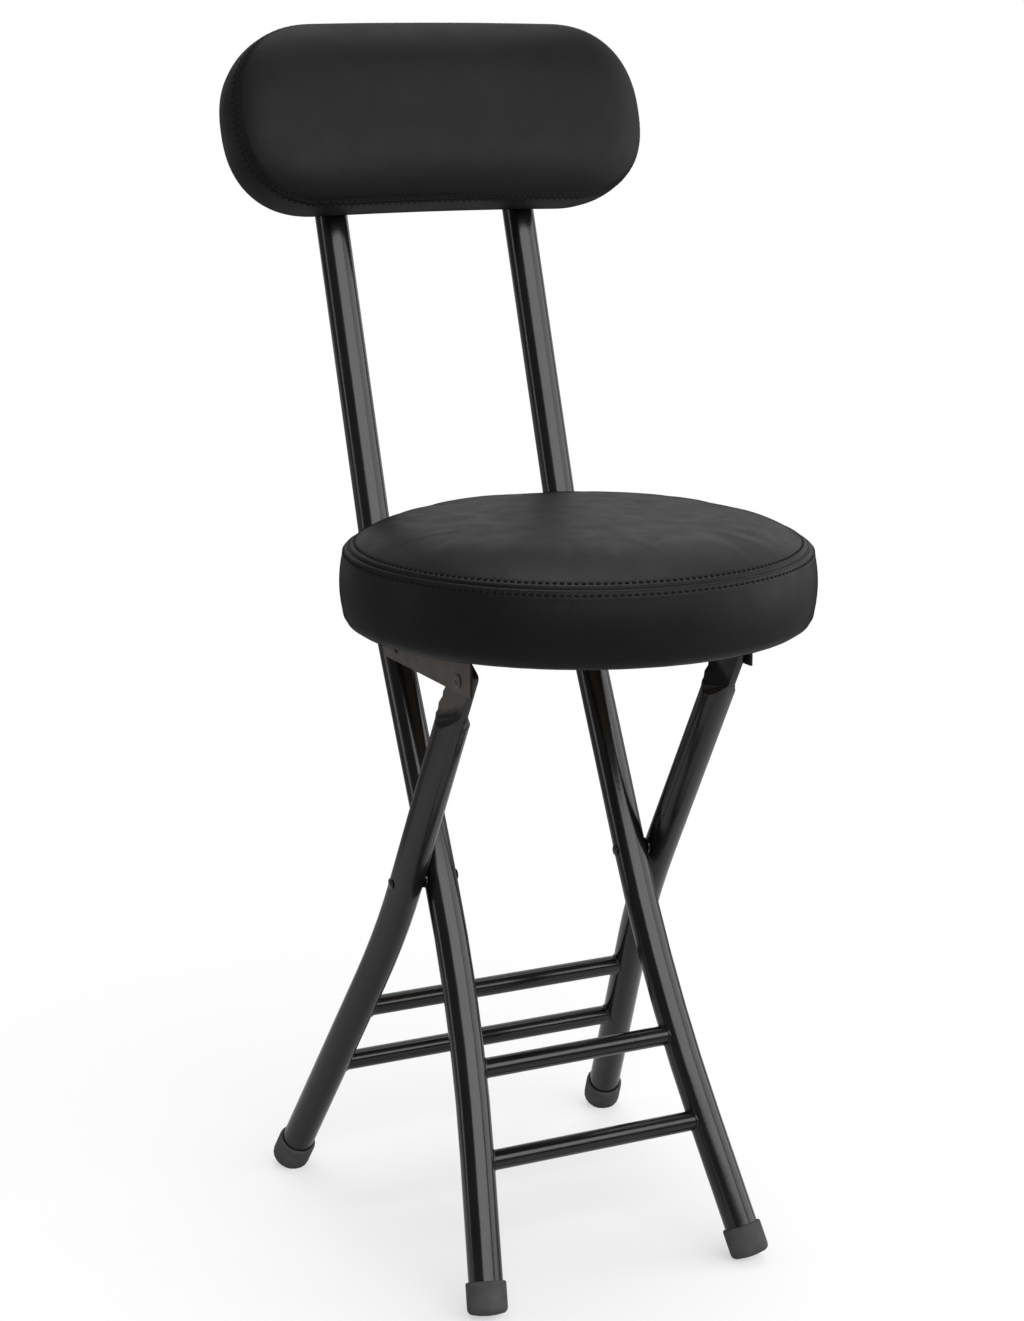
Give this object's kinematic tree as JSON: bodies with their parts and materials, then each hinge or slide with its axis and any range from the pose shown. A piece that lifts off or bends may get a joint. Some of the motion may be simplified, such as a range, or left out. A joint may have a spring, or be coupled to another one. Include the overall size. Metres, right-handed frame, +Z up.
{
  "type": "folding stool",
  "caption": "Folding metal stool with a round padded seat and a low padded backrest on crossed tube legs; the seat unhooks and swings up as the legs close.",
  "frame": {"origin": "centre of the bounding box at floor height", "axes": "+Z up, the sitter faces -Y, +X is the right side seen from the front"},
  "size_m": [0.3, 0.428, 0.7907],
  "materials": {
    "painted_steel": "glossy black enamel",
    "bracket_steel": "satin brown-grey paint",
    "plated_steel": "zinc plated",
    "cap_rubber": "matte dark grey",
    "black_plastic": "matte black",
    "cover_leather": "satin black artificial leather with a fine grain",
    "foam": "open-cell foam",
    "plywood": "bare plywood"
  },
  "bodies": {
    "back_frame": {"upright_left": "painted_steel", "upright_right": "painted_steel", "front_rung_upper": "painted_steel", "front_rung_lower": "painted_steel", "front_foot_cap_left": "cap_rubber", "front_foot_cap_right": "cap_rubber", "upright_plug_left": "black_plastic", "upright_plug_right": "black_plastic", "crossing_rivet_left": "painted_steel", "crossing_rivet_right": "painted_steel", "crossing_washer_left": "plated_steel", "crossing_washer_right": "plated_steel", "rest_pin_left": "plated_steel", "rest_pin_right": "plated_steel", "backrest_cover": "cover_leather", "backrest_foam": "foam", "backrest_board": "plywood", "backrest_screw_upper_left": "plated_steel", "backrest_screw_upper_right": "plated_steel", "backrest_screw_lower_left": "plated_steel", "backrest_screw_lower_right": "plated_steel"},
    "leg_frame": {"leg_left": "painted_steel", "leg_right": "painted_steel", "rear_rung_upper": "painted_steel", "rear_rung_lower": "painted_steel", "rear_foot_cap_left": "cap_rubber", "rear_foot_cap_right": "cap_rubber"},
    "seat": {"seat_cover": "cover_leather", "seat_foam": "foam", "seat_board": "plywood", "bracket_left": "bracket_steel", "bracket_right": "bracket_steel", "hook_strap_left": "bracket_steel", "hook_strap_right": "bracket_steel", "pivot_rivet_left": "bracket_steel", "pivot_rivet_right": "bracket_steel", "strap_rivet_left": "plated_steel", "strap_rivet_right": "plated_steel", "bracket_screw_1_left": "plated_steel", "bracket_screw_1_right": "plated_steel", "bracket_screw_2_left": "plated_steel", "bracket_screw_2_right": "plated_steel", "bracket_screw_3_left": "plated_steel", "bracket_screw_3_right": "plated_steel"}
  },
  "joints": [
    {"name": "leg_fold", "type": "hinge", "parent": "back_frame", "child": "leg_frame", "pos_m": [0, -0.00976, 0.24797], "axis": [-1, 0, 0], "range_deg": [0, 48.5]},
    {"name": "seat_fold", "type": "hinge", "parent": "leg_frame", "child": "seat", "pos_m": [0, -0.0975, 0.4039], "axis": [1, 0, 0], "range_deg": [0, 121.25]}
  ],
  "couplings": [
    {"joint": "seat_fold", "follows": "leg_fold", "ratio": 2.5}
  ]
}
